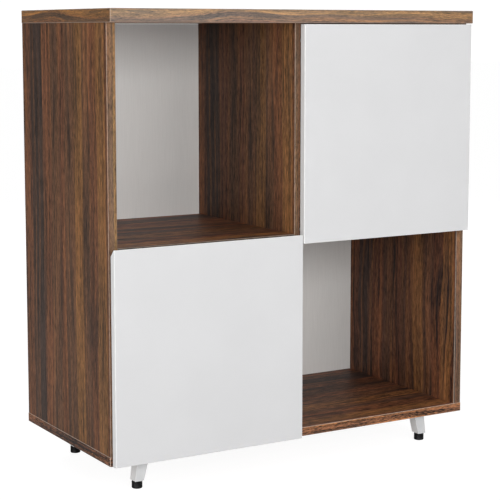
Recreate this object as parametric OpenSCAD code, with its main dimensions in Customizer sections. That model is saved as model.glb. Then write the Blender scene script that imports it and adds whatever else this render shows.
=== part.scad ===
// Cube storage unit: a two by two carcass in walnut-faced board under a thicker top,
// with two open cubes and two white doors placed crosswise, on four splayed legs.
// X runs along the front, the front faces -Y, and Z is zero on the floor.

/* [Overall size] */
// Width across the top panel
unit_w = 800; // [760:1:1000]
// Depth across the top panel
unit_d = 400; // [380:1:480]
// Height from the floor to the top
unit_h = 880; // [840:1:980]

/* [Boards] */
// Thickness of the sides, divider, shelves and bottom
board_t = 18; // [17:0.5:19]
// Thickness of the top panel
top_t = 25; // [22:1:30]
// Thickness of the back panels
back_t = 5; // [4:0.5:6]
// Thickness of the edge bands
band_t = 2; // [1:0.5:2.5]
// How far the sides stand in from the ends of the top and bottom
side_inset = 1; // [0.5:0.5:3]
// How far the top reaches in front of the carcass
top_overhang = 19; // [19:0.5:24]
// How far the top and bottom reach behind the sides
rear_overhang = 1; // [0.5:0.5:3]
// Height of the two lower cubes
lower_cube_h = 361; // [340:1:390]

/* [Doors] */
// Thickness of a door
door_t = 15; // [15:0.5:15.5]
// Gap between a door and the front of the carcass
door_gap = 3.5; // [3.4:0.1:3.6]
// How much of the side's front edge shows beside a door
door_reveal = 2; // [1.5:0.5:2.5]
// Gap between the two doors, side by side
door_split = 2; // [2:0.5:4]
// Height of the bevel that is the finger pull
pull_drop = 14; // [8:1:18]
// Width of the lip left in front of the bevel
pull_lip = 2; // [2:0.5:3]
// Radius of the doors' edges
door_round = 1.5; // [0.5:0.25:1.75]

/* [Hinges] */
// Distance from a hinge to the nearer end of its door
hinge_inset = 85; // [75:1:110]
// Diameter of the hinge cup
cup_d = 35; // [35:0.5:36]
// Depth of the hinge cup
cup_depth = 11; // [11:0.1:11.3]
// Board left between the cup and the edge of the door
cup_edge = 3; // [3:0.1:3.2]
// Distance from the edge of the door to the hinge pin
pin_from_edge = 6.9; // [6.8:0.05:7]

/* [Legs] */
// Height of a leg with its foot
leg_h = 60; // [50:1:80]
// Distance from the end of the unit to the middle of a foot
foot_inset = 74.5; // [60:0.5:110]
// Distance from the middle of the unit to the feet, front and rear
foot_y = 138; // [100:1:140]
// Sideways lean of a leg over its height
leg_lean = 8.5; // [4:0.5:12]
// Width of a leg at its foot
leg_low_w = 18; // [18:0.5:20]
// Width of a leg under the bottom panel
leg_high_w = 24; // [22:0.5:28]
// Depth of a leg from front to rear
leg_depth = 22; // [20:0.5:26]
// Diameter of a foot
foot_d = 20; // [18:0.5:22]
// Height of a foot
foot_h = 13.5; // [12:0.5:16]

/* [Hidden] */
$fn = 48;

walnut = [0.40, 0.28, 0.20];
banding = [0.52, 0.38, 0.27];
white = [0.88, 0.88, 0.88];
back_white = [0.80, 0.79, 0.77];
steel = [0.72, 0.72, 0.74];
black = [0.06, 0.06, 0.06];
beech = [0.80, 0.66, 0.48];

// Planes and edges of the carcass
front_y = -unit_d / 2 + top_overhang;
rear_y = unit_d / 2 - rear_overhang;
back_y = rear_y - back_t;
side_out = unit_w / 2 - side_inset;
side_in = side_out - board_t;
bottom_z = leg_h;
floor_z = bottom_z + board_t;
ceiling_z = unit_h - top_t;
shelf_z = floor_z + lower_cube_h;
shelf_top_z = shelf_z + board_t;
rebate = board_t / 2;
slack = 0.5;
band_r = band_t - 0.2;
seam = 0.1;

// Doors: closed, both lap the shelf between them, and each laps half the divider
door_back_y = front_y - door_gap;
door_front_y = door_back_y - door_t;
door_w = side_out - door_reveal - door_split / 2;
door_end_gap = 2;
lower_door_z = [bottom_z + 2, shelf_top_z - slack];
upper_door_z = [shelf_z + slack, ceiling_z - door_end_gap];

// Hinges, in the frame of a side panel: X from its inner face, Y from its front edge
pin_r = 1.25;
running = 0.07;
edge_x = door_reveal - board_t;
pin_x = edge_x + pin_from_edge;
pin_y = -(door_gap + door_t / 2);
cup_x = edge_x + cup_edge + cup_d / 2;
cup_skin = 0.8;
flange_t = 1.2;
eye_r = 2.4;
eye_w = 7;
lug_t = 1.5;
lug_gap = 0.3;
arm_t = 2.5;
arm_x = 1;
arm_w = 12;
arm_rear = 60;
channel_w = 16;
channel_front = 8;
channel_x = 14;
channel_wall = 1.5;
plate_t = 3;
plate_setback = 37;
plate_screw_z = 16;
plate_screw_r = 2.5;
plate_screw_head_r = 4.5;
plate_screw_l = 15;
clamp_screw_y = 44;
clamp_screw_r = 2.1;
clamp_screw_x = 5;
clamp_head_r = 3.6;
clamp_head_t = 2;
cup_screw_z = 24;
cup_screw_x = cup_x + 6;
cup_screw_r = 1.75;
cup_screw_l = 11.2;
cup_screw_head_r = 3.5;
cup_screw_head_t = 1;

// Joints between boards
play = 0.05;
cam_r = 7.5;
cam_depth = 12.5;
cam_reach = 34;
bolt_r = 3;
bolt_thread_r = 3.5;
bolt_grip = 11;
dowel_r = 4;
dowel_low = 8;
dowel_high = 20;
joint_inset = 60;
dowel_step = 32;
cover_r = 8.5;
cover_t = 0.5;
confirmat_r = 3.5;
confirmat_head_r = 5;
confirmat_l = 50;
back_screw_r = 1.5;
back_screw_head_r = 3.2;
back_screw_l = 20;
bumper_r = 4;
bumper_t = 2.8;

// Legs and feet
leg_gap = 1;
leg_wall = 2;
leg_plate = 60;
leg_plate_t = 2;
leg_plate_r = 6;
leg_screw_step = 22;
leg_screw_r = 2;
leg_screw_l = 14;
leg_screw_head_r = 3.8;
leg_screw_head_t = 1.6;
insert_h = 12;
stud_r = 4;
stud_l = 17;
leg_low_z = foot_h + leg_gap;
leg_high_z = leg_h - leg_plate_t;

JOINT_YS = [front_y + joint_inset, back_y - joint_inset];
DOWEL_YS = [JOINT_YS[0] + dowel_step, JOINT_YS[1] - dowel_step];

// Uprights: middle of the board in X, and the way its cam locks face
UPRIGHTS = [[board_t / 2 - side_out, 1], [0, 1], [side_out - board_t / 2, -1]];
// Half shelves: middle of the span in X, and the way their cam locks face
SHELF_SPAN = side_in - board_t / 2;
SHELF_MID = (side_in + board_t / 2) / 2;
SHELVES = [["shelf_left", -SHELF_MID, -1], ["shelf_right", SHELF_MID, 1]];
SHELF_MID_Z = shelf_z + board_t / 2;

CAMS = concat(
    [for (u = UPRIGHTS, y = JOINT_YS)
        [[u[0] + u[1] * board_t / 2, y, ceiling_z - cam_reach], [0, 90 * u[1], 0]]],
    [for (s = SHELVES, side = [-1, 1], y = JOINT_YS)
        [[s[1] + side * (SHELF_SPAN / 2 - cam_reach), y, SHELF_MID_Z + s[2] * board_t / 2],
         [s[2] < 0 ? 180 : 0, 0, 0]]]);

BACK_ROWS = [for (i = [0:4]) floor_z + 60 + i * (ceiling_z - floor_z - 120) / 4];
BACK_SCREWS = concat(
    [for (x = [-side_in - rebate / 2, -board_t / 4, board_t / 4, side_in + rebate / 2],
          z = BACK_ROWS) [x, z]],
    [for (s = SHELVES) [s[1], SHELF_MID_Z]]);

// Hinges: name, side of the unit, height
HINGES = [
    ["lower_door_low_hinge", -1, lower_door_z[0] + hinge_inset],
    ["lower_door_high_hinge", -1, lower_door_z[1] - hinge_inset],
    ["upper_door_low_hinge", 1, upper_door_z[0] + hinge_inset],
    ["upper_door_high_hinge", 1, upper_door_z[1] - hinge_inset]];

// Corners of the underside: name, side in X, side in Y
CORNERS = [["front_left", -1, -1], ["front_right", 1, -1], ["rear_left", -1, 1], ["rear_right", 1, 1]];

// Corners of the top panel and of the bottom panel, bands included
TOP = [[-unit_w / 2, -unit_d / 2, ceiling_z], [unit_w / 2, unit_d / 2, unit_h]];
BOTTOM = [[-unit_w / 2, front_y, bottom_z], [unit_w / 2, unit_d / 2, floor_z]];

// ---- Shared shapes ----

module box(low, high) translate(low) cube(high - low);

module bar_x(r, l) rotate([0, 90, 0]) cylinder(r = r, h = l);

// A bar from the origin towards -Y, as a door screw or cup runs
module bar_in(r, l) rotate([90, 0, 0]) cylinder(r = r, h = l);

// A bar from the origin towards +Y
module bar_back(r, l) rotate([-90, 0, 0]) cylinder(r = r, h = l);

// Points of an arc round a centre, from one angle to another
function arc(centre, r, from, to) =
    [for (i = [0:4]) centre + r * [cos(from + (to - from) * i / 4), sin(from + (to - from) * i / 4)]];

function round_rect(low, high, r) = concat(
    arc([low[0] + r, low[1] + r], r, 180, 270), arc([high[0] - r, low[1] + r], r, 270, 360),
    arc([high[0] - r, high[1] - r], r, 0, 90), arc([low[0] + r, high[1] - r], r, 90, 180));

// A box with every edge rounded
module soft_box(low, high, r) intersection() {
    translate([0, 0, low[2]]) linear_extrude(high[2] - low[2])
        polygon(round_rect([low[0], low[1]], [high[0], high[1]], r));
    translate([0, high[1], 0]) rotate([90, 0, 0]) linear_extrude(high[1] - low[1])
        polygon(round_rect([low[0], low[2]], [high[0], high[2]], r));
    translate([low[0], 0, 0]) rotate([90, 0, 90]) linear_extrude(high[0] - low[0])
        polygon(round_rect([low[1], low[2]], [high[1], high[2]], r));
}

module round_plate(w, t, r) {
    for (x = [-1, 1], y = [-1, 1]) translate([x * (w / 2 - r), y * (w / 2 - r), 0]) cylinder(r = r, h = t);
    translate([-w / 2 + r, -w / 2, 0]) cube([w - 2 * r, w, t]);
    translate([-w / 2, -w / 2 + r, 0]) cube([w, w - 2 * r, t]);
}

// ---- Joints between boards; p is the play added to make the matching hole ----

module cam_pocket() translate([0, 0, -cam_depth - play]) cylinder(r = cam_r + play, h = cam_depth + 1);

module cam_lock() difference() {
    translate([0, 0, -cam_depth]) cylinder(r = cam_r, h = cam_depth);
    translate([-cam_r - 1, 0, -board_t / 2]) bar_x(bolt_r + 0.4, 2 * cam_r + 2);
    for (turn = [0, 90]) rotate(turn) translate([-4, -0.75, -2]) cube([8, 1.5, 3]);
}

module at_cams() for (c = CAMS) translate(c[0]) rotate(c[1]) children();

// Bolt from a panel face at the origin: the grip runs towards -Z and the shank towards +Z
module cam_bolt(p = 0) {
    translate([0, 0, -bolt_grip - p]) cylinder(r = bolt_thread_r + p, h = bolt_grip + p);
    cylinder(r = bolt_r + p, h = cam_reach);
}

module top_bolts(p = 0) for (u = UPRIGHTS, y = JOINT_YS)
    translate([u[0], y, ceiling_z]) rotate([180, 0, 0]) cam_bolt(p);

module side_bolts(p = 0) for (side = [-1, 1], y = JOINT_YS)
    translate([side * side_in, y, SHELF_MID_Z]) rotate([0, -90 * side, 0]) cam_bolt(p);

module through_bolts(p = 0) for (y = JOINT_YS)
    translate([-board_t / 2 - cam_reach, y, SHELF_MID_Z]) bar_x(bolt_r + p, board_t + 2 * cam_reach);

// Dowel across a joint at the origin, with its short end towards -Z
module dowel(p = 0) translate([0, 0, -dowel_low - 10 * p])
    cylinder(r = dowel_r + p, h = dowel_low + dowel_high + 20 * p);

module all_dowels(p = 0) {
    for (u = UPRIGHTS, y = DOWEL_YS) {
        translate([u[0], y, ceiling_z]) rotate([180, 0, 0]) dowel(p);
        translate([u[0], y, floor_z]) dowel(p);
    }
    for (s = SHELVES, side = [-1, 1], y = DOWEL_YS)
        translate([s[1] + side * SHELF_SPAN / 2, y, SHELF_MID_Z]) rotate([0, -90 * side, 0]) dowel(p);
}

// Countersunk screw with its head flush with the origin, driven towards +Z
module countersunk(r, head_r, l, p = 0) {
    translate([0, 0, -p]) cylinder(r1 = head_r + p, r2 = r + p, h = head_r - r + p);
    cylinder(r = r + p, h = l + 10 * p);
}

module panel_screws(p = 0) for (u = UPRIGHTS, y = JOINT_YS)
    translate([u[0], y, bottom_z]) countersunk(confirmat_r, confirmat_head_r, confirmat_l, p);

module rear_screws(p = 0) for (s = BACK_SCREWS)
    translate([s[0], rear_y, s[1]]) rotate([90, 0, 0])
        countersunk(back_screw_r, back_screw_head_r, back_screw_l, p);

// ---- Hinge hardware, in the frame of the left side panel ----

module at_side(side, z) {
    if (side < 0) translate([-side_in, front_y, z]) children();
    else translate([side_in, front_y, z]) mirror([1, 0, 0]) children();
}

module at_hinges(side) for (h = HINGES) if (h[1] == side) at_side(h[1], h[2]) children();

module plate_screw_pair(p = 0) for (z = [-1, 1])
    translate([plate_t, plate_setback, z * plate_screw_z]) rotate([0, -90, 0])
        countersunk(plate_screw_r, plate_screw_head_r, plate_screw_l, p);

module plate_screws(p = 0) for (side = [-1, 1]) at_hinges(side) plate_screw_pair(p);

module clamp_screw() {
    translate([channel_x, clamp_screw_y, 0]) bar_x(clamp_head_r, clamp_head_t);
    translate([clamp_screw_x, clamp_screw_y, 0]) bar_x(clamp_screw_r, channel_x - clamp_screw_x);
}

module clamp_screws() for (side = [-1, 1]) at_hinges(side) clamp_screw();

module cup_screws_at(side, p = 0) at_hinges(side) for (z = [-1, 1])
    translate([cup_screw_x, flange_t - door_gap, z * cup_screw_z]) {
        bar_in(cup_screw_r + p, cup_screw_l + 10 * p);
        bar_back(cup_screw_head_r, cup_screw_head_t);
    }

module cup_bore() translate([cup_x, 1 - door_gap, 0]) bar_in(cup_d / 2 + play, cup_depth + 1 + play);

module cup_body() {
    translate([cup_x, -door_gap, 0]) bar_in(cup_d / 2, cup_depth);
    translate([cup_x, flange_t - door_gap, 0]) bar_in(cup_d / 2 + 0.8, flange_t);
    box([cup_screw_x - 7, -door_gap, -30], [cup_screw_x + 7, flange_t - door_gap, 30]);
}

// Two lugs inside the cup carry the ends of the pin
module cup_lugs() intersection() {
    translate([cup_x, -door_gap, 0]) bar_in(cup_d / 2, cup_depth);
    for (side = [-1, 1])
        translate([0, 0, side * (eye_w / 2 + lug_gap + lug_t / 2)])
            box([edge_x + cup_edge, -door_gap - cup_depth, -lug_t / 2],
                [pin_x + 2.6, pin_y + 2.6, lug_t / 2]);
}

module hinge_cup() color(steel) difference() {
    union() {
        difference() {
            cup_body();
            translate([cup_x, 5, 0]) bar_in(cup_d / 2 - cup_skin, cup_depth + door_gap + 5 - cup_skin);
        }
        cup_lugs();
    }
    translate([pin_x, pin_y, -eye_w]) cylinder(r = pin_r + 0.02, h = 2 * eye_w);
    for (z = [-1, 1]) translate([cup_screw_x, 0, z * cup_screw_z]) bar_in(cup_screw_r + play, cup_depth);
}

module hinge_pin() color(steel) translate([pin_x, pin_y, -eye_w / 2 - lug_gap - lug_t])
    cylinder(r = pin_r, h = eye_w + 2 * (lug_gap + lug_t));

// The arm leaves the pin inside the cup, turns round the side panel's edge and
// widens into a channel that sits over the mounting plate
module hinge_arm() color(steel) difference() {
    union() {
        translate([pin_x, pin_y, -eye_w / 2]) cylinder(r = eye_r, h = eye_w);
        box([pin_x, pin_y - arm_t / 2, -eye_w / 2], [arm_x + arm_t, pin_y + arm_t / 2, eye_w / 2]);
        box([arm_x, pin_y - arm_t / 2, -arm_w / 2], [arm_x + arm_t, channel_front + 2, arm_w / 2]);
        box([arm_x, channel_front, -channel_w / 2], [channel_x, channel_front + 2, channel_w / 2]);
        box([plate_t + 0.4, channel_front, -channel_w / 2], [channel_x, arm_rear, channel_w / 2]);
    }
    translate([pin_x, pin_y, -eye_w]) cylinder(r = pin_r + running, h = 2 * eye_w);
    box([-1, channel_front + 2, channel_wall - channel_w / 2],
        [channel_x - channel_wall, arm_rear + 1, channel_w / 2 - channel_wall]);
    translate([channel_x - 3, clamp_screw_y, 0]) bar_x(clamp_screw_r + play, 4);
}

module hinge_plate() color(steel) difference() {
    union() {
        box([0, 14, -7], [plate_t, 54, 7]);
        box([0, plate_setback - 7, -24], [plate_t, plate_setback + 7, 24]);
        box([plate_t, 18, -6.2], [channel_x - channel_wall - 0.2, 50, 6.2]);
    }
    plate_screw_pair(play);
    translate([clamp_screw_x - 10 * play, clamp_screw_y, 0]) bar_x(clamp_screw_r + play, channel_x);
}

// ---- Carcass ----

module screw_holes() {
    at_cams() cam_pocket();
    top_bolts(play);
    side_bolts(play);
    through_bolts(play);
    all_dowels(play);
    panel_screws(play);
    rear_screws(play);
    plate_screws(play);
    leg_screw_set(play);
}

// Board of the top or bottom, inside the bands on its four edges
module flat_panel(low, high) color(walnut) difference() {
    box(low + [band_t, band_t, 0], high - [band_t, band_t, 0]);
    screw_holes();
}

// The front and rear bands run the whole width, and the end bands fit between them with a seam
module panel_bands(low, high) color(banding) {
    end_low = low[1] + band_t + seam;
    end_high = high[1] - band_t - seam;
    for (strip = [
        [low, [high[0], low[1] + band_t, high[2]]],
        [[low[0], high[1] - band_t, low[2]], high],
        [[low[0], end_low, low[2]], [low[0] + band_t, end_high, high[2]]],
        [[high[0] - band_t, end_low, low[2]], [high[0], end_high, high[2]]]])
        intersection() {
            soft_box(low, high, band_r);
            box(strip[0], strip[1]);
        }
}

// Band of length l as wide as a board, with its outer face down and its outer edges rounded
module edge_band(l) linear_extrude(l) polygon(concat(
    [[board_t / 2, band_t], [-board_t / 2, band_t]],
    arc([band_r - board_t / 2, band_r], band_r, 180, 270),
    arc([board_t / 2 - band_r, band_r], band_r, 270, 360)));

module front_edge_bands() color(banding) {
    for (u = UPRIGHTS) translate([u[0], front_y, floor_z]) edge_band(ceiling_z - floor_z);
    for (s = SHELVES) translate([s[1] - SHELF_SPAN / 2 + seam, front_y, SHELF_MID_Z])
        rotate([0, 90, 0]) edge_band(SHELF_SPAN - 2 * seam);
}

module side_panel(side) color(walnut) difference() {
    box([min(side * side_in, side * side_out), front_y + band_t, floor_z],
        [max(side * side_in, side * side_out), rear_y, ceiling_z]);
    translate([side * side_in - rebate, back_y, floor_z - 1]) cube([2 * rebate, back_t + 1, unit_h]);
    screw_holes();
}

module centre_divider() color(walnut) difference() {
    box([-board_t / 2, front_y + band_t, floor_z], [board_t / 2, back_y, ceiling_z]);
    screw_holes();
}

module shelf(mid) color(walnut) difference() {
    box([mid - SHELF_SPAN / 2, front_y + band_t, shelf_z], [mid + SHELF_SPAN / 2, back_y, shelf_top_z]);
    screw_holes();
}

module back_panel(side) color(back_white) difference() {
    box([min(side * slack, side * (side_in + rebate - slack)), back_y, floor_z + slack],
        [max(side * slack, side * (side_in + rebate - slack)), rear_y, ceiling_z - slack]);
    rear_screws(play);
}

// ---- Doors ----

// Outline from front to back, with the bevelled pull at the end towards +Z
function door_outline(low, high) = concat(
    arc([door_front_y + door_round, low + door_round], door_round, 180, 270),
    arc([door_back_y - door_round, low + door_round], door_round, 270, 360),
    [[door_back_y, high - pull_drop], [door_front_y + pull_lip, high]],
    arc([door_front_y + door_round, high - door_round], door_round, 90, 180));

// A door from x to x + door_w, with its upright edges rounded as well
module door_slab(x, low, high) intersection() {
    translate([x, 0, 0]) rotate([90, 0, 90]) linear_extrude(door_w) polygon(door_outline(low, high));
    translate([0, 0, low]) linear_extrude(high - low)
        polygon(round_rect([x, door_front_y], [x + door_w, door_back_y], door_round));
}

module door_lower_left() color(white) difference() {
    door_slab(door_reveal - side_out, lower_door_z[0], lower_door_z[1]);
    at_hinges(-1) cup_bore();
    cup_screws_at(-1, play);
}

module door_upper_right() color(white) difference() {
    mirror([0, 0, 1]) door_slab(door_split / 2, -upper_door_z[1], -upper_door_z[0]);
    at_hinges(1) cup_bore();
    cup_screws_at(1, play);
}

// Pads at the free end of a door, which meet the edge of the divider
module bumpers(side, span) color(back_white) for (z = span)
    translate([side * (door_split / 2 + bumper_r + 0.5), door_back_y, z]) bar_back(bumper_r, bumper_t);

// ---- Legs and feet, in the frame of a foot with +X outwards ----

module at_corner(c) translate([c[1] * (unit_w / 2 - foot_inset), c[2] * foot_y, 0])
    scale([c[1], 1, 1]) children();

// Outline of the leg seen from the front, drawn in by a wall
function leg_outline(wall) = [
    [wall - leg_low_w / 2, leg_low_z], [leg_low_w / 2 - wall, leg_low_z],
    [leg_high_w / 2 - wall - leg_lean, leg_high_z], [wall - leg_high_w / 2 - leg_lean, leg_high_z]];

module leg_solid(wall) translate([0, leg_depth / 2 - wall, 0]) rotate([90, 0, 0])
    linear_extrude(leg_depth - 2 * wall) polygon(leg_outline(wall));

module leg() color(white) difference() {
    leg_solid(0);
    leg_solid(leg_wall);
}

module leg_insert() color(black) difference() {
    intersection() {
        leg_solid(leg_wall + play);
        box([-unit_w, -leg_depth, leg_low_z], [unit_w, leg_depth, leg_low_z + insert_h]);
    }
    translate([0, 0, leg_low_z - 1]) cylinder(r = stud_r + running, h = insert_h + 2);
}

module leg_plate() color(white) difference() {
    translate([-leg_lean, 0, leg_high_z]) round_plate(leg_plate, leg_plate_t, leg_plate_r);
    leg_screws_local(play);
}

module leg_screws_local(p = 0) for (x = [-1, 1], y = [-1, 1])
    translate([x * leg_screw_step - leg_lean, y * leg_screw_step, leg_high_z]) {
        translate([0, 0, -leg_screw_head_t]) cylinder(r = leg_screw_head_r, h = leg_screw_head_t);
        cylinder(r = leg_screw_r + p, h = leg_screw_l + 10 * p);
    }

module leg_screw_set(p = 0) for (c = CORNERS) at_corner(c) leg_screws_local(p);

module foot() color(black) {
    rotate_extrude() polygon(concat(
        [[0, 0]],
        [for (a = [0:15:90]) [foot_d / 2 - 1.5 + 1.5 * sin(a), 1.5 - 1.5 * cos(a)]],
        [[foot_d / 2, foot_h - 0.8], [foot_d / 2 - 0.8, foot_h], [0, foot_h]]));
    translate([0, 0, foot_h]) cylinder(r = stud_r, h = stud_l);
}

// ---- Nodes ----

flat_panel(TOP[0], TOP[1]);  // top_panel
flat_panel(BOTTOM[0], BOTTOM[1]);  // bottom_panel
panel_bands(TOP[0], TOP[1]);  // top_edge_bands
panel_bands(BOTTOM[0], BOTTOM[1]);  // bottom_edge_bands
front_edge_bands();
side_panel(-1);  // side_panel_left
side_panel(1);  // side_panel_right
centre_divider();
for (s = SHELVES) shelf(s[1]);
back_panel(-1);  // back_panel_left
back_panel(1);  // back_panel_right
door_lower_left();
door_upper_right();
bumpers(-1, [lower_door_z[0] + 30, lower_door_z[1] - pull_drop - 12]);  // door_bumpers_lower
bumpers(1, [upper_door_z[0] + pull_drop + 12, upper_door_z[1] - 30]);  // door_bumpers_upper
color(steel) plate_screws();  // hinge_plate_screws
color(steel) clamp_screws();  // hinge_clamp_screws
color(steel) cup_screws_at(-1);  // cup_screws_lower
color(steel) cup_screws_at(1);  // cup_screws_upper
color(steel) at_cams() cam_lock();  // cam_locks
color(steel) { top_bolts(); side_bolts(); }  // cam_bolts
color(steel) through_bolts();  // shelf_through_bolts
color(walnut) at_cams() cylinder(r = cover_r, h = cover_t);  // cam_covers
color(beech) all_dowels();  // dowels
color(steel) panel_screws();  // bottom_screws
color(steel) rear_screws();  // back_screws
color(steel) leg_screw_set();  // leg_screws
for (h = HINGES) {
    at_side(h[1], h[2]) hinge_cup();
    at_side(h[1], h[2]) hinge_arm();
    at_side(h[1], h[2]) hinge_pin();
    at_side(h[1], h[2]) hinge_plate();
}
for (c = CORNERS) {
    at_corner(c) leg();
    at_corner(c) leg_plate();
    at_corner(c) leg_insert();
    at_corner(c) foot();
}
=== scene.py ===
"""Cube storage unit: looks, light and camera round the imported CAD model. Lengths are in metres."""
import math
import random

import bmesh
import bpy
from mathutils import Matrix, Vector


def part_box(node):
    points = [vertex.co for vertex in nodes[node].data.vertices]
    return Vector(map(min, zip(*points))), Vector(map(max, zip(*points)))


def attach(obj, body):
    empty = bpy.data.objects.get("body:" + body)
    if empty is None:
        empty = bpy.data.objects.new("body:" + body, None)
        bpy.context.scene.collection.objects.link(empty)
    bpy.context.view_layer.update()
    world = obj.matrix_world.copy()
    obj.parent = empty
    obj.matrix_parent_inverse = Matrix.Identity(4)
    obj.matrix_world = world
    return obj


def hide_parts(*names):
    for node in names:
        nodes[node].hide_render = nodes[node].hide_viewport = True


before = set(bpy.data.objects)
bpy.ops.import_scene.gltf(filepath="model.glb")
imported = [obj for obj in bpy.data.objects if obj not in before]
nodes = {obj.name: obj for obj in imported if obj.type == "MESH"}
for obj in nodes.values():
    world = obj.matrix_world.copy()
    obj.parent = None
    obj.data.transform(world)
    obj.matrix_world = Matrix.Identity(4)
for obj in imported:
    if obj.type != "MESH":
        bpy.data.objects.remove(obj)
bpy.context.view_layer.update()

MM = 0.001
SAME_PLACE = 1e-6


# ---- Shared helpers ----

def srgb(red, green, blue):
    """A colour given as 0 to 255 screen values, as the linear colour that shaders use."""
    def linear(value):
        value /= 255
        return value / 12.92 if value <= 0.04045 else ((value + 0.055) / 1.055) ** 2.4
    return (linear(red), linear(green), linear(blue), 1.0)


class Shader:
    """A material with one Principled shader, and short calls that add nodes to it."""

    def __init__(self, name):
        self.material = bpy.data.materials.new(name)
        self.material.use_nodes = True
        self.tree = self.material.node_tree
        self.bsdf = self.tree.nodes["Principled BSDF"]
        self.coords = self.tree.nodes.new("ShaderNodeTexCoord")

    def add(self, kind, inputs=(), **settings):
        """A new node. inputs are pairs of socket and either a value or an output to link."""
        node = self.tree.nodes.new("ShaderNode" + kind)
        for name, value in settings.items():
            setattr(node, name, value)
        for socket, value in inputs:
            self.put(node.inputs[socket], value)
        return node

    def put(self, socket, value):
        if isinstance(value, bpy.types.NodeSocket):
            self.tree.links.new(value, socket)
        else:
            socket.default_value = value

    def set(self, **values):
        """Values or outputs for the Principled shader's own sockets, with spaces as underscores."""
        for name, value in values.items():
            self.put(self.bsdf.inputs[name.replace("_", " ")], value)

    def math(self, operation, a, b=0.0, c=0.0):
        return self.add("Math", [(0, a), (1, b), (2, c)], operation=operation).outputs[0]

    def scaled(self, vector, scale):
        return self.add("VectorMath", [(0, vector), (1, scale)], operation="MULTIPLY").outputs[0]

    def vector(self, x, y, z):
        return self.add("CombineXYZ", [(0, x), (1, y), (2, z)]).outputs[0]

    def part(self, vector, axis):
        """A vector's X, Y or Z, for axis 0, 1 or 2."""
        return self.add("SeparateXYZ", [(0, vector)]).outputs[axis]

    def noise(self, vector, scale=1.0, detail=2.0, roughness=0.5, distortion=0.0):
        inputs = [("Vector", vector), ("Scale", scale), ("Detail", detail),
                  ("Roughness", roughness), ("Distortion", distortion)]
        return self.add("TexNoise", inputs).outputs["Fac"]

    def remap(self, value, low, high, to_low=0.0, to_high=1.0):
        inputs = [("Value", value), ("From Min", low), ("From Max", high),
                  ("To Min", to_low), ("To Max", to_high)]
        return self.add("MapRange", inputs).outputs["Result"]

    def ramp(self, value, stops):
        """A colour ramp over (position, colour) stops."""
        node = self.add("ValToRGB", [("Fac", value)])
        elements = node.color_ramp.elements
        while len(elements) < len(stops):
            elements.new(1.0)
        for element, (position, colour) in zip(elements, stops):
            element.position = position
            element.color = colour
        return node.outputs["Color"]

    def blend(self, factor, a, b, mode="MIX"):
        node = self.add("Mix", data_type="RGBA", blend_type=mode)
        for socket, value in ((0, factor), (6, a), (7, b)):
            self.put(node.inputs[socket], value)
        return node.outputs[2]

    def bump(self, height, strength, distance):
        inputs = [("Height", height), ("Strength", strength), ("Distance", distance)]
        self.put(self.bsdf.inputs["Normal"], self.add("Bump", inputs).outputs["Normal"])

    def turned(self, axis):
        """How squarely the surface faces along axis 0, 1 or 2, either way: 1 is square on."""
        size = self.add("VectorMath", [(0, self.coords.outputs["Normal"])], operation="ABSOLUTE")
        return self.part(size.outputs[0], axis)

    def turn_mask(self, low=0.80, high=0.985):
        """1 where the surface turns away from all three axes, as on a rounded edge."""
        sideways = self.math("MAXIMUM", self.turned(0), self.turned(1))
        return self.remap(self.math("MAXIMUM", sideways, self.turned(2)), low, high, 1.0, 0.0)


def dress(material, *names):
    """Gives CAD nodes a material."""
    for name in names:
        slots = nodes[name].data.materials
        slots.clear()
        slots.append(material)


# ---- Walnut laminate ----

RED_STRIP = srgb(111, 73, 52)
BROWN_STRIP = srgb(101, 72, 53)
GOLD_STRIP = srgb(132, 93, 57)
SMOKE_STRIP = srgb(68, 55, 49)
SMOKE_MARK = srgb(48, 40, 37)
ORANGE_LINE = srgb(142, 94, 58)

# The strips printed across a board PRINT_WIDTH wide: where each one ends, from 0 to 1, and its colour
PRINT_WIDTH = 0.4
PRINT = [(0.10, RED_STRIP), (0.24, SMOKE_STRIP), (0.33, RED_STRIP), (0.43, BROWN_STRIP),
         (0.49, RED_STRIP), (0.60, BROWN_STRIP), (0.69, GOLD_STRIP), (0.76, BROWN_STRIP),
         (0.84, RED_STRIP), (0.93, GOLD_STRIP), (1.00, RED_STRIP)]
STRIP_BLUR = 0.008

# How the grain's darkness shifts its colour: dark grain is cooler and light grain warmer
RED_POWER = 1.08
BLUE_POWER = 0.90


def strip_stops():
    """Colour ramp stops for the print: each strip flat, with a narrow blur between neighbours."""
    stops, begin = [], 0.0
    for end, colour in PRINT:
        stops += [(begin + STRIP_BLUR / 2, colour), (end - STRIP_BLUR / 2, colour)]
        begin = end
    return stops


def grain_places(s, across, along, level_between):
    """The places across and along the grain, swapped where |X| is between the level_between distances."""
    place = s.coords.outputs["Object"]
    u, v = (s.add("VectorMath", [(0, place), (1, way)], operation="DOT_PRODUCT").outputs["Value"]
            for way in (across, along))
    if level_between:
        near, far = level_between
        aside = s.math("ABSOLUTE", s.part(place, 0))
        level = s.math("MULTIPLY", s.math("GREATER_THAN", aside, near), s.math("LESS_THAN", aside, far))
        step = s.math("MULTIPLY", s.math("SUBTRACT", v, u), level)
        u, v = s.math("ADD", u, step), s.math("SUBTRACT", v, step)
    return u, v


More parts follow.
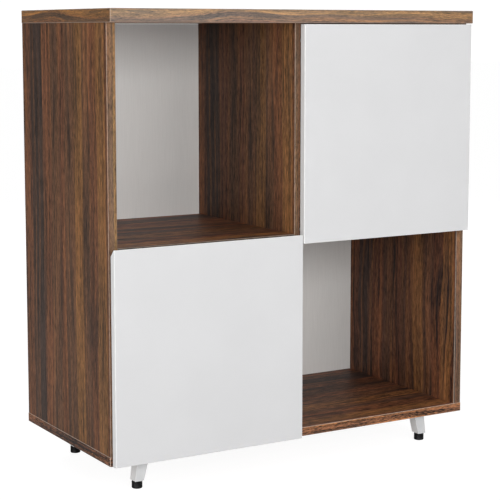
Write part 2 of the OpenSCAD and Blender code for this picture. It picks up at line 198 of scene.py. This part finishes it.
def walnut(name, across, along, offset, wave=0.005, shift=0.0, stretch=1.0, lift=0.0, contrast=1.3,
           fine=1.0, smoky=1.0, tints=(None, None, None), gloss=0.12, roughness=0.42, edge=None,
           level_between=None):
    """Printed walnut grain: strips, orange and smoky lines, dark marks, fibres and flecks.

    across and along weigh the X, Y and Z axes to give the places across and along the grain, and
    level_between is where they swap. offset picks another stretch of the tree, and wave is how far the
    lines wander. shift and stretch place the print's strips. lift makes the wood lighter, contrast
    strengthens its grain, fine makes the grain smaller, and smoky is how dark its marks are. tints
    multiply the colour of the faces along X, Y and Z, and the grey one on the bands' fronts is a painted
    sheen. edge is the colour of the rounded edges: partly wear, partly a painted highlight."""
    s = Shader(name)
    u, v = grain_places(s, across, along, level_between)
    wander = s.noise(s.scaled(s.vector(u, v, offset), (9.0, 3.0, 1.0)), detail=2.0)
    bent = s.math("ADD", u, s.remap(wander, 0.25, 0.75, -wave, wave))
    board = s.math("MULTIPLY_ADD", bent, stretch / PRINT_WIDTH, 0.5 + shift)
    strips = s.ramp(s.math("FRACT", board), strip_stops())
    place = s.scaled(s.vector(bent, v, offset), (fine, fine, 1.0))

    clouds = s.noise(s.scaled(place, (11.0, 3.0, 1.0)), detail=1.0)
    broad = s.noise(s.scaled(place, (40.0, 1.8, 1.0)), detail=3.0, roughness=0.6)
    marks = s.noise(s.scaled(place, (75.0, 4.5, 1.0)), detail=2.0, roughness=0.4, distortion=0.3)
    lines = s.noise(s.scaled(place, (110.0, 1.6, 1.0)), detail=4.0, roughness=0.75)
    hues = s.noise(s.scaled(place, (90.0, 1.6, 5.0)), detail=2.0, roughness=0.6)
    fibres = s.noise(s.scaled(place, (480.0, 34.0, 1.0)), detail=2.0, roughness=0.8)
    flecks = s.noise(s.scaled(place, (320.0, 60.0, 1.0)), detail=2.0, roughness=0.8)

    colour = s.blend(s.remap(hues, 0.50, 0.72, 0.0, 0.7), strips, ORANGE_LINE)
    colour = s.blend(s.remap(hues, 0.50, 0.30, 0.0, 0.6), colour, SMOKE_STRIP)
    smoke = s.math("MAXIMUM", s.remap(broad, 0.54, 0.68, 0.0, 0.70), s.remap(marks, 0.57, 0.70, 0.0, 0.80))
    colour = s.blend(s.math("MULTIPLY", smoke, smoky), colour, SMOKE_MARK)
    light = 1.0 + lift
    for layer, weight in ((clouds, 0.6), (lines, 1.9), (fibres, 2.3), (flecks, 1.3)):
        swing = s.math("MULTIPLY", s.math("SUBTRACT", layer, 0.5), weight * contrast)
        light = s.math("ADD", swing, light)
    shade = s.vector(s.math("POWER", light, RED_POWER), light, s.math("POWER", light, BLUE_POWER))
    colour = s.blend(1.0, colour, shade, "MULTIPLY")
    for axis, tint in enumerate(tints):
        if tint:
            colour = s.blend(s.turned(axis), colour, tint, "MULTIPLY")
    # Rounded edges turn towards the edge colour: partly wear, partly a painted highlight where light
    # catches the rounding
    if edge:
        wear_and_highlight = s.math("MULTIPLY", s.turn_mask(), s.remap(flecks, 0.30, 0.60, 0.55, 0.95))
        colour = s.blend(wear_and_highlight, colour, edge)

    s.set(Base_Color=colour, Roughness=s.remap(lines, 0.3, 0.7, roughness, roughness + 0.12),
          Specular_IOR_Level=gloss)
    s.bump(fibres, 0.35, 0.15 * MM)
    return s.material


# Colours for the bands' rounded edges: partly wear, partly a painted highlight
PALE_EDGE_WEAR_AND_HIGHLIGHT = srgb(196, 176, 160)
DULL_EDGE_WEAR_AND_HIGHLIGHT = srgb(160, 141, 126)
# The grey tint for the front faces of the top and front bands is a painted sheen: it stands for the haze
# of light reflected off their gloss
GREY_SHEEN = (0.93, 1.11, 1.23, 1.0)
GOLDEN = (1.02, 0.99, 0.74, 1.0)
DARKER = (0.88, 0.92, 1.00, 1.0)
REDDER = (1.05, 0.97, 0.98, 1.0)
DRIER = (0.98, 1.02, 1.00, 1.0)

X, Z = (1, 0, 0), (0, 0, 1)
FORWARD = (0, -1, 0)
ALL_ROUND = (1, 1, 0)

# The upright boards: the grain's wave, how smoky it is, and the tint of the board's two sides
UPRIGHTS = {"side_panel_left": (0.005, 0.9, None),
            "centre_divider": (0.005, 0.9, None),
            "side_panel_right": (0.010, 1.25, REDDER)}
UPRIGHT_STEP = 0.07
for number, (name, (wave, smoky, tint)) in enumerate(UPRIGHTS.items()):
    dress(walnut("walnut_" + name, FORWARD, Z, offset=UPRIGHT_STEP * number, wave=wave, fine=1.1,
                 smoky=smoky, tints=(tint, None, None)), name)

# The level boards: how much lighter each one is, and its grain's contrast
LEVELS = {"top_panel": (0.12, 1.35),
          "shelf_left": (0.28, 2.1),
          "shelf_right": (0.28, 2.1),
          "bottom_panel": (0.12, 2.1)}
LEVEL_START, LEVEL_STEP = 6.1, 1.3
for number, (name, (lift, contrast)) in enumerate(LEVELS.items()):
    dress(walnut("walnut_" + name, FORWARD, X, offset=LEVEL_START + LEVEL_STEP * number, lift=lift,
                 contrast=contrast, fine=0.85, smoky=1.25, tints=(None, None, REDDER)), name)

# |X| where the shelves' front strips start and end, between the divider's and the side panels' strips
SHELF_FRONTS = (0.0093, 0.3807)
dress(walnut("band_top", Z, ALL_ROUND, offset=12.4, wave=0.016, shift=0.68, stretch=2.5, lift=0.29,
             contrast=1.7, fine=2.0, smoky=0.6, tints=(GOLDEN, GREY_SHEEN, None), gloss=0.65,
             roughness=0.34, edge=DULL_EDGE_WEAR_AND_HIGHLIGHT), "top_edge_bands")
dress(walnut("band_bottom", Z, ALL_ROUND, offset=13.9, wave=0.006, shift=0.115, lift=0.11,
             contrast=3.3, fine=2.0, smoky=0.8, tints=(DARKER, DRIER, None), gloss=0.2,
             edge=PALE_EDGE_WEAR_AND_HIGHLIGHT), "bottom_edge_bands")
dress(walnut("band_front", X, Z, offset=15.2, wave=0.003, shift=0.94, stretch=5.0, lift=0.16,
             fine=1.8, smoky=0.25, tints=(None, GREY_SHEEN, None), gloss=0.15, edge=DULL_EDGE_WEAR_AND_HIGHLIGHT,
             level_between=SHELF_FRONTS), "front_edge_bands")


# ---- Painted and plain surfaces ----

CORNERS = ("front_left", "front_right", "rear_left", "rear_right")
HINGES = ("lower_door_low_hinge", "lower_door_high_hinge", "upper_door_low_hinge", "upper_door_high_hinge")
# Near-white colour for the rounded edges of the lacquer: a painted highlight
ARRIS_HIGHLIGHT = srgb(246, 246, 244)


def lacquer(name, colour, shade, sides, roughness, ripple):
    """Sprayed paint: a faint mottle between colour and shade, a fine ripple in the gloss, a painted
    highlight that makes the faces turned away from the front and back brighter, and painted highlight
    patches along the rounded edges."""
    s = Shader(name)
    place = s.coords.outputs["Object"]
    mottle = s.noise(place, 9.0, 3.0)
    ripples = s.noise(place, ripple, 2.0)
    face = s.blend(s.remap(mottle, 0.35, 0.65), colour, shade)
    # Painted highlight: faces turned away from the front and back take the brighter sides colour
    face = s.blend(s.remap(s.turned(1), 0.72, 0.99, 1.0, 0.0), face, sides)
    # Patches of painted highlight along the rounded edges
    arris_highlight_patches = s.remap(s.noise(place, 150.0, 3.0), 0.40, 0.66, 0.35, 0.95)
    s.set(Base_Color=s.blend(s.math("MULTIPLY", s.turn_mask(), arris_highlight_patches), face, ARRIS_HIGHLIGHT),
          Roughness=s.remap(ripples, 0.3, 0.7, roughness - 0.04, roughness + 0.04),
          Specular_IOR_Level=0.5)
    s.bump(ripples, 0.12, 0.1 * MM)
    return s.material


# In each call the third colour is the painted highlight on the sides
dress(lacquer("white_lacquer", srgb(205, 205, 206), srgb(203, 203, 204), srgb(234, 234, 234),
              roughness=0.38, ripple=420.0), "door_lower_left", "door_upper_right")
leg_paint = lacquer("white_metal", srgb(204, 205, 206), srgb(200, 201, 202), srgb(244, 244, 244),
                    roughness=0.42, ripple=900.0)
for corner in CORNERS:
    dress(leg_paint, "leg_" + corner, "leg_plate_" + corner)


def backboard():
    """White-faced hardboard with a fine upright weave and faint clouds."""
    s = Shader("white_backboard")
    place = s.coords.outputs["Object"]
    weave = s.noise(s.scaled(place, (900.0, 1.0, 18.0)), detail=2.0)
    clouds = s.noise(place, 4.0, 2.0)
    colour = s.blend(s.remap(weave, 0.3, 0.7), srgb(214, 212, 209), srgb(222, 220, 217))
    colour = s.blend(s.remap(clouds, 0.3, 0.7, 0.0, 0.5), colour, srgb(210, 208, 206))
    s.set(Base_Color=colour, Roughness=s.remap(weave, 0.3, 0.7, 0.52, 0.62))
    s.bump(weave, 0.15, 0.08 * MM)
    return s.material


dress(backboard(), "back_panel_left", "back_panel_right")


def moulded_plastic(name, colour, scuff, roughness):
    """Moulded plastic with a spark-eroded texture and scuffs on its rounded edges."""
    s = Shader(name)
    place = s.coords.outputs["Object"]
    texture = s.noise(place, 1800.0, 2.0)
    wear = s.math("MULTIPLY", s.turn_mask(), s.noise(place, 260.0, 3.0))
    s.set(Base_Color=s.blend(wear, colour, scuff), Specular_IOR_Level=0.18,
          Roughness=s.remap(texture, 0.3, 0.7, roughness - 0.08, roughness + 0.08))
    s.bump(texture, 0.25, 0.08 * MM)
    return s.material


black = moulded_plastic("black_plastic", srgb(9, 9, 10), srgb(46, 46, 48), roughness=0.5)
cover = moulded_plastic("walnut_cover", srgb(84, 60, 46), srgb(120, 92, 74), roughness=0.5)
# The clear bumpers' colour is darkened to a mid grey as painted shade for the dark gap they sit in
pad = moulded_plastic("clear_pad", srgb(128, 126, 121), srgb(170, 168, 164), roughness=0.3)
dress(black, *("leg_insert_" + corner for corner in CORNERS))
dress(cover, "cam_covers")
dress(pad, "door_bumpers_lower", "door_bumpers_upper")


def plated_steel(name, colour, stain, roughness, grain):
    """Plated steel with slight staining. grain is how fine its finish is along X, Y and Z."""
    s = Shader(name)
    place = s.coords.outputs["Object"]
    drawn = s.noise(s.scaled(place, grain), detail=2.0)
    stains = s.noise(place, 120.0, 3.0)
    s.set(Base_Color=s.blend(s.remap(stains, 0.40, 0.75), colour, stain), Metallic=1.0,
          Roughness=s.remap(drawn, 0.3, 0.7, roughness - 0.07, roughness + 0.09))
    s.bump(drawn, 0.12, 0.03 * MM)
    return s.material


nickel = plated_steel("nickel_steel", srgb(206, 204, 200), srgb(176, 173, 168),
                      roughness=0.28, grain=(2600.0, 2600.0, 160.0))
zinc = plated_steel("zinc_steel", srgb(196, 198, 204), srgb(176, 172, 150),
                    roughness=0.36, grain=(900.0, 900.0, 900.0))
for hinge in HINGES:
    dress(nickel, *(hinge + part for part in ("_cup", "_arm", "_pin", "_plate")))
dress(zinc, "cam_locks", "cam_bolts", "shelf_through_bolts")


def beech():
    """Bare beech with its grain along Z."""
    s = Shader("beech")
    place = s.coords.outputs["Object"]
    grain = s.noise(s.scaled(place, (700.0, 700.0, 40.0)), detail=3.0)
    s.set(Base_Color=s.ramp(grain, [(0.3, srgb(176, 138, 98)), (0.7, srgb(214, 180, 136))]), Roughness=0.6)
    s.bump(grain, 0.3, 0.1 * MM)
    return s.material


dress(beech(), "dowels")


# ---- Cross-recess screws in place of the plain CAD ones ----

SIDES = 24
HARD_EDGE = math.radians(32)


def solids(name):
    """The separate solids of a CAD node, each as the list of its corners."""
    mesh = bmesh.new()
    mesh.from_mesh(nodes[name].data)
    bmesh.ops.remove_doubles(mesh, verts=mesh.verts, dist=SAME_PLACE)
    found, seen = [], set()
    for start in mesh.verts:
        if start in seen:
            continue
        seen.add(start)
        queue, corners = [start], []
        while queue:
            vertex = queue.pop()
            corners.append(vertex.co.copy())
            for edge in vertex.link_edges:
                other = edge.other_vert(vertex)
                if other not in seen:
                    seen.add(other)
                    queue.append(other)
        found.append(corners)
    mesh.free()
    return found


def placed(corners, axis):
    """Where the middle of a screw's head is, which way the screw is driven, its length and head radius."""
    low = Vector([min(corner[k] for corner in corners) for k in range(3)])
    high = Vector([max(corner[k] for corner in corners) for k in range(3)])
    ends = []
    for level in (low[axis], high[axis]):
        at = (low + high) / 2
        at[axis] = level
        level_corners = [corner for corner in corners if abs(corner[axis] - level) < 0.01 * MM]
        ends.append((max((corner - at).length for corner in level_corners), at))
    (_, tip), (head_radius, head) = sorted(ends, key=lambda end: end[0])
    return head, (tip - head).normalized(), (tip - head).length, head_radius


def ring(mesh, radius, height, ribs=0.0, sides=SIDES):
    """A ring of corners round Z. Every other one is nearer the middle by ribs."""
    corners = []
    for k in range(sides):
        reach = radius - ribs * (k % 2)
        angle = math.tau * k / sides
        corners.append(mesh.verts.new((reach * math.cos(angle), reach * math.sin(angle), height)))
    return corners


def cross(mesh, reach, width, height):
    """The outline of a cross round Z, with arms that reach so far and are twice width wide."""
    quarter = [Vector(corner) for corner in ((reach, -width, 0), (reach, width, 0), (width, width, 0))]
    turns = [Matrix.Rotation(math.tau * turn / 4, 3, "Z") for turn in range(4)]
    return [mesh.verts.new(turn @ corner + Vector((0, 0, height))) for turn in turns for corner in quarter]


def walls(mesh, rings):
    """Faces from each ring to the next."""
    for above, below in zip(rings, rings[1:]):
        for k, corner in enumerate(above):
            after = (k + 1) % len(above)
            mesh.faces.new((corner, below[k], below[after], above[after]))


def loop(mesh, corners):
    """The edges round a ring of corners."""
    pairs = zip(corners, corners[1:] + corners[:1])
    return [mesh.edges.get(pair) or mesh.edges.new(pair) for pair in pairs]


def thread(radius, start, end):
    """Radius and height of each root and crest of a thread, from height start down to height end."""
    pitch, root = 0.55 * radius, 0.8 * radius
    points = []
    for turn in range(int((start - end) / pitch)):
        points += [(root, start - turn * pitch), (radius, start - (turn + 0.5) * pitch)]
    return points


def finished(mesh, name, material):
    """The mesh as smooth-shaded data with its hard edges kept."""
    bmesh.ops.recalc_face_normals(mesh, faces=mesh.faces)
    for face in mesh.faces:
        face.smooth = True
    for edge in mesh.edges:
        edge.smooth = edge.calc_face_angle(0.0) < HARD_EDGE
    data = bpy.data.meshes.new(name)
    mesh.to_mesh(data)
    mesh.free()
    data.materials.append(material)
    return data


def screw_mesh(name, length, head, shaft, head_depth, dome):
    """A screw along -Z with the middle of its head's top at the origin. head and shaft are radii, and
    dome is how far the rim of the head lies below the top: 0 for a countersunk head."""
    rim_round, rim_drop = 0.2 * MM, 0.15 * MM
    tip_radius, tip_length = 0.15 * MM, 1.6 * shaft
    mesh = bmesh.new()
    flat = ring(mesh, 0.72 * head, 0.0)
    profile = [(head - rim_round, -dome), (head, -dome - rim_drop)]
    if dome:
        profile.append((head, -head_depth))
    profile += thread(shaft, -head_depth, tip_length - length) + [(tip_radius, -length)]
    rings = [flat] + [ring(mesh, radius, height) for radius, height in profile]
    walls(mesh, rings)
    mesh.faces.new(rings[-1])

    mouth = cross(mesh, reach=0.56 * head, width=0.13 * head, height=0.0)
    foot = cross(mesh, reach=0.34 * head, width=0.09 * head, height=-0.6 * head_depth)
    bmesh.ops.bridge_loops(mesh, edges=loop(mesh, flat) + loop(mesh, mouth))
    walls(mesh, [mouth, foot])
    mesh.faces.new(foot)
    return finished(mesh, name, zinc)


def fit_screws(node, axis, body, shaft, head_depth, dome):
    """A detailed screw in place of each solid of a CAD node, whose screws lie along one axis. shaft is the
    thread's radius, and it, head_depth and dome are in mm."""
    screws = [placed(corners, axis) for corners in solids(node)]
    length, head = screws[0][2:]
    data = screw_mesh(node, length, head, shaft * MM, head_depth * MM, dome * MM)
    for number, (at, way, _, _) in enumerate(screws, 1):
        screw = bpy.data.objects.new(f"{node}_{number}", data)
        screw.location = at
        spin = Matrix.Rotation(chance.uniform(0, 1.57), 3, "Z")
        screw.rotation_euler = (way.to_track_quat("-Z", "Y").to_matrix() @ spin).to_euler()
        bpy.context.scene.collection.objects.link(screw)
        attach(screw, body)
        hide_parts(node)


chance = random.Random(20)
fit_screws("bottom_screws", 2, "carcass", shaft=3.5, head_depth=1.5, dome=0)
fit_screws("back_screws", 1, "carcass", shaft=1.5, head_depth=1.7, dome=0)
fit_screws("hinge_plate_screws", 0, "carcass", shaft=2.5, head_depth=2.0, dome=0)
fit_screws("hinge_clamp_screws", 0, "carcass", shaft=2.1, head_depth=2.0, dome=0.5)
fit_screws("cup_screws_lower", 1, "lower_door", shaft=1.75, head_depth=1.0, dome=0.4)
fit_screws("cup_screws_upper", 1, "upper_door", shaft=1.75, head_depth=1.0, dome=0.4)
fit_screws("leg_screws", 2, "carcass", shaft=2.0, head_depth=1.6, dome=0.5)


# ---- Ribbed levelling feet with threaded studs, in place of the plain CAD ones ----

FOOT_H = 13.5 * MM
FOOT_SIDES = 2 * SIDES
STUD_R = 4 * MM
CHAMFER = 0.8 * MM
RIB_DEPTH = 0.35 * MM
RIBS_FROM, RIBS_TO = 3.6 * MM, 11.5 * MM
RUN_OUT = 0.4 * MM


def foot_mesh(radius, height):
    """A foot standing on the origin, ribbed for grip, with its stud rising to height."""
    stud = [(0.7 * STUD_R, height)] + thread(STUD_R, height - CHAMFER, FOOT_H) + [(0.8 * STUD_R, FOOT_H)]
    shoulder = [(radius - CHAMFER, FOOT_H), (radius, FOOT_H - CHAMFER), (radius, RIBS_TO + RUN_OUT)]
    base = [(radius, RIBS_FROM - RUN_OUT), (radius, 1.5 * MM), (radius - 0.45 * MM, 0.45 * MM),
            (radius - 1.5 * MM, 0.0)]
    mesh = bmesh.new()
    rings = [ring(mesh, reach, level, 0.0, FOOT_SIDES) for reach, level in stud + shoulder]
    rings += [ring(mesh, radius, level, RIB_DEPTH, FOOT_SIDES) for level in (RIBS_TO, RIBS_FROM)]
    rings += [ring(mesh, reach, level, 0.0, FOOT_SIDES) for reach, level in base]
    walls(mesh, rings)
    mesh.faces.new(rings[0])
    mesh.faces.new(rings[-1])
    return finished(mesh, "levelling_foot", black)


foot_data = None
for corner in CORNERS:
    low, high = (Vector(place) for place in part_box("foot_" + corner))
    foot_data = foot_data or foot_mesh((high.x - low.x) / 2, high.z - low.z)
    foot = bpy.data.objects.new("levelling_foot_" + corner, foot_data)
    foot.location = ((low.x + high.x) / 2, (low.y + high.y) / 2, low.z)
    bpy.context.scene.collection.objects.link(foot)
    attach(foot, "adjuster_" + corner)
    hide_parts("foot_" + corner)


# ---- Softened edges ----

def soften(width, *names):
    """Rounds the hard edges of CAD nodes by width, in mm."""
    for name in names:
        weld = nodes[name].modifiers.new("weld", "WELD")
        weld.merge_threshold = SAME_PLACE
        bevel = nodes[name].modifiers.new("bevel", "BEVEL")
        bevel.width = width * MM
        bevel.segments = 2
        bevel.limit_method = "ANGLE"
        bevel.angle_limit = math.radians(40)
        bevel.harden_normals = True


for corner in CORNERS:
    soften(0.6, "leg_" + corner)
    soften(0.3, "leg_plate_" + corner)
for hinge in HINGES:
    soften(0.25, *(hinge + part for part in ("_arm", "_plate")))


# ---- Floor, light and camera ----

FLOOR_REACH = 30.0
FLOOR_GLOW = 1.22
FLOOR_GLOW_SHARE = 0.76
CAMERA_AT = (-1.5357, -2.5751, 0.8410)
CAMERA_AZIMUTH = 30.82
CAMERA_TILT = 6.79
MIDDLE = (0.0, 0.0, 0.5)


def floor():
    """A pale floor, lit so that the camera sees it as white as the background."""
    r = FLOOR_REACH
    mesh = bpy.data.meshes.new("floor")
    mesh.from_pydata([(-r, -r, 0), (r, -r, 0), (r, r, 0), (-r, r, 0)], [], [(0, 1, 2, 3)])
    sheet = bpy.data.objects.new("floor", mesh)
    bpy.context.scene.collection.objects.link(sheet)
    s = Shader("floor")
    s.set(Base_Color=(0.88, 0.88, 0.88, 1.0), Roughness=0.9, Specular_IOR_Level=0.0)
    glow = s.add("Emission", [("Strength", FLOOR_GLOW)])
    seen = s.math("MULTIPLY", s.add("LightPath").outputs["Is Camera Ray"], FLOOR_GLOW_SHARE)
    mix = s.add("MixShader", [(0, seen), (1, s.bsdf.outputs[0]), (2, glow.outputs[0])])
    s.put(s.tree.nodes["Material Output"].inputs["Surface"], mix.outputs[0])
    mesh.materials.append(s.material)


def softbox(name, place, target, size, watts):
    """A rectangular lamp at place that faces target."""
    lamp = bpy.data.lights.new(name, "AREA")
    lamp.shape = "RECTANGLE"
    lamp.size, lamp.size_y = size
    lamp.energy = watts
    holder = bpy.data.objects.new(name, lamp)
    holder.location = place
    holder.rotation_euler = (Vector(target) - Vector(place)).to_track_quat("-Z", "Y").to_euler()
    bpy.context.scene.collection.objects.link(holder)


def sky(background, front, rear):
    """White behind the object, and a dim fill for the light that reaches it, dimmer from the rear."""
    world = bpy.data.worlds.new("studio")
    bpy.context.scene.world = world
    world.use_nodes = True
    tree = world.node_tree

    def add(kind, *links):
        node = tree.nodes.new("ShaderNode" + kind)
        for source, number in links:
            tree.links.new(source, node.inputs[number])
        return node

    seen = tree.nodes["Background"]
    seen.inputs["Strength"].default_value = background
    seen.inputs["Color"].default_value = (1.0, 1.0, 1.0, 1.0)
    toward = add("SeparateXYZ", (add("TexCoord").outputs["Generated"], 0))
    depth = add("MapRange", (toward.outputs["Y"], 0))
    for socket, value in (("From Min", -0.5), ("From Max", 0.6), ("To Min", front), ("To Max", rear)):
        depth.inputs[socket].default_value = value
    light = add("Background", (depth.outputs["Result"], 1))
    path = add("LightPath")
    mix = add("MixShader", (path.outputs["Is Camera Ray"], 0), (light.outputs[0], 1), (seen.outputs[0], 2))
    tree.links.new(mix.outputs[0], tree.nodes["World Output"].inputs["Surface"])


def aim_camera():
    """The camera at the front left, with verticals kept nearly upright by its shift."""
    camera = bpy.data.cameras.new("camera")
    camera.sensor_width = 36.0
    camera.lens = 108.5
    camera.shift_y = -0.08
    holder = bpy.data.objects.new("camera", camera)
    holder.location = CAMERA_AT
    holder.rotation_euler = (math.radians(90 - CAMERA_TILT), 0.0, math.radians(-CAMERA_AZIMUTH))
    bpy.context.scene.collection.objects.link(holder)
    bpy.context.scene.camera = holder


floor()
sky(background=1.05, front=0.60, rear=0.20)
softbox("key", (-0.9, -3.6, 1.14), MIDDLE, (1.6, 1.4), watts=61.0)
softbox("side", (-3.4, -1.2, 1.0), MIDDLE, (1.4, 1.6), watts=33.0)
softbox("front", (0.95, -3.2, 1.20), (0.0, 0.0, 0.7), (1.2, 1.2), watts=18.0)
softbox("rear", (1.8, 3.4, 1.8), MIDDLE, (1.8, 1.8), watts=60.0)
bpy.context.scene.view_settings.view_transform = "Standard"
aim_camera()
